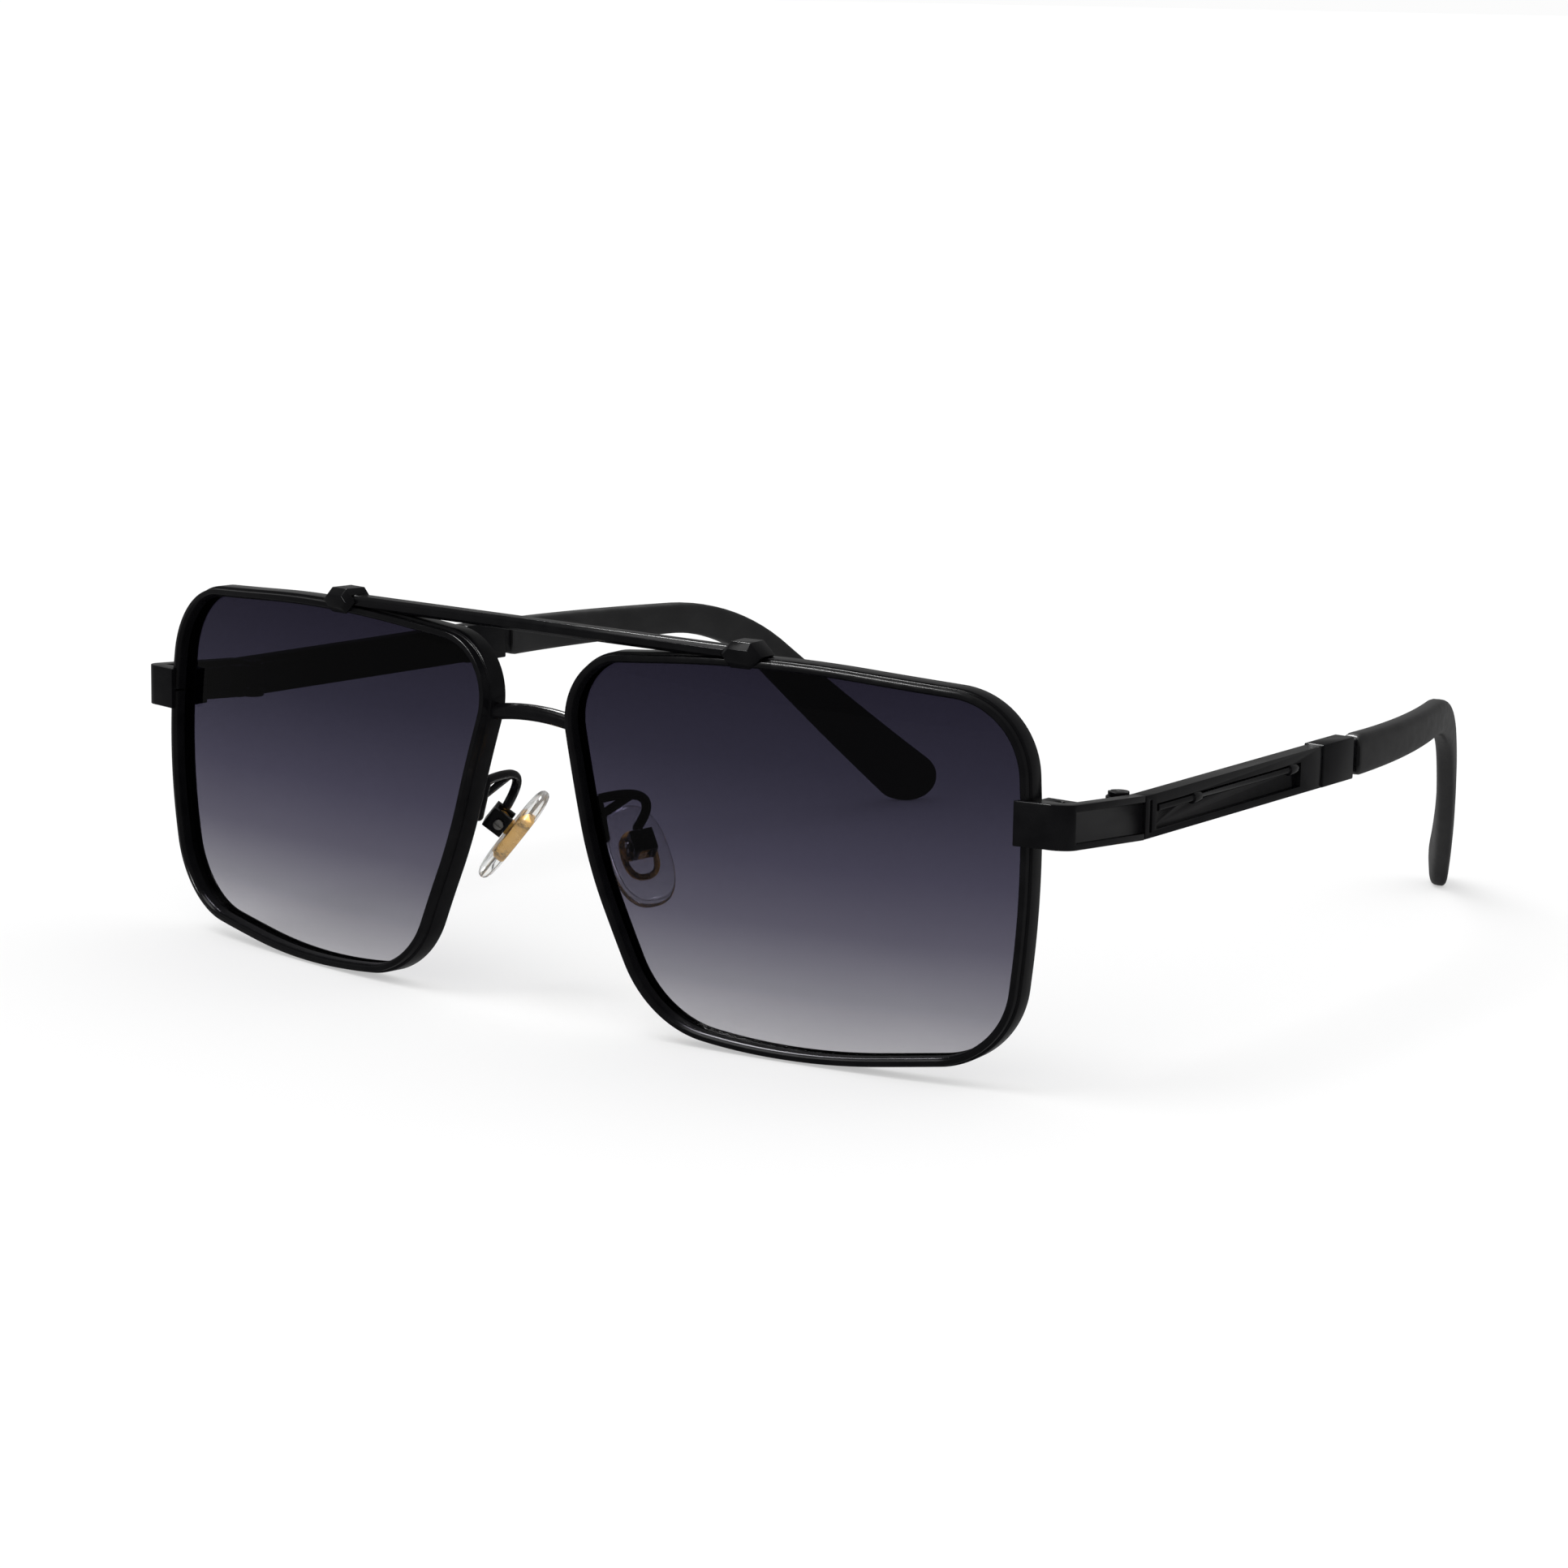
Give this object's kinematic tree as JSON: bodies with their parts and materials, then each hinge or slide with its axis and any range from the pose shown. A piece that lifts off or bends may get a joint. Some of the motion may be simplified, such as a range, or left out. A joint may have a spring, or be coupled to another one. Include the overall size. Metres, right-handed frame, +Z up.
{
  "type": "sunglasses",
  "caption": "Square metal double-bridge sunglasses with gradient smoke lenses, folding temples with bent plastic tips, and rocking screw-on nose pads.",
  "frame": {"origin": "on the ground under the middle of the open frame, halfway between the rims' front and the temple tips' rear", "axes": "+Z up; -Y the way the lenses face; +X the wearer's left"},
  "size_m": [0.1456, 0.1478, 0.049],
  "materials": {
    "black_metal": "satin black plating over a nickel-alloy wire frame",
    "gloss_black_metal": "gloss black plating",
    "smoke_lens": "gradient smoke tint, dark at the top and pale at the bottom",
    "screw_steel": "plain steel",
    "core_steel": "plain drawn wire",
    "tip_plastic": "smooth satin black",
    "clear_pad": "clear soft plastic",
    "gold_insert": "bright gilt"
  },
  "bodies": {
    "front": {"rim_left": "black_metal", "rim_right": "black_metal", "lens_left": "smoke_lens", "lens_right": "smoke_lens", "brow_bar": "black_metal", "brow_clamp_left": "black_metal", "brow_clamp_right": "black_metal", "bridge": "black_metal", "endpiece_left": "black_metal", "endpiece_right": "black_metal", "rim_lock_upper_left": "black_metal", "rim_lock_upper_right": "black_metal", "rim_lock_lower_left": "black_metal", "rim_lock_lower_right": "black_metal", "rim_lock_screw_left": "screw_steel", "rim_lock_screw_right": "screw_steel", "front_hinge_left": "black_metal", "front_hinge_right": "black_metal", "hinge_screw_left": "black_metal", "hinge_screw_right": "black_metal", "pad_arm_left": "black_metal", "pad_arm_right": "black_metal", "pad_box_left": "black_metal", "pad_box_right": "black_metal", "pad_screw_left": "screw_steel", "pad_screw_right": "screw_steel"},
    "temple_left": {"temple_hinge_left": "black_metal", "temple_arm_left": "black_metal", "accent_rod_left": "gloss_black_metal", "temple_sleeve_left": "black_metal", "core_wire_left": "core_steel", "temple_tip_left": "tip_plastic"},
    "temple_right": {"temple_hinge_right": "black_metal", "temple_arm_right": "black_metal", "accent_rod_right": "gloss_black_metal", "temple_sleeve_right": "black_metal", "core_wire_right": "core_steel", "temple_tip_right": "tip_plastic"},
    "pad_left": {"nose_pad_left": "clear_pad", "pad_insert_left": "gold_insert"},
    "pad_right": {"nose_pad_right": "clear_pad", "pad_insert_right": "gold_insert"}
  },
  "joints": [
    {"name": "fold_left", "type": "hinge", "parent": "front", "child": "temple_left", "pos_m": [0.06909, -0.049, 0.03051], "axis": [0, 0, 1], "range_deg": [0, 84]},
    {"name": "fold_right", "type": "hinge", "parent": "front", "child": "temple_right", "pos_m": [-0.06909, -0.049, 0.03051], "axis": [0, 0, -1], "range_deg": [0, 76]},
    {"name": "rock_left", "type": "hinge", "parent": "front", "child": "pad_left", "pos_m": [0.01128, -0.06452, 0.02127], "axis": [0.524, 0.8404, 0.1387], "range_deg": [-12, 12]},
    {"name": "rock_right", "type": "hinge", "parent": "front", "child": "pad_right", "pos_m": [-0.01128, -0.06452, 0.02127], "axis": [0.524, -0.8404, -0.1387], "range_deg": [-12, 12]}
  ]
}
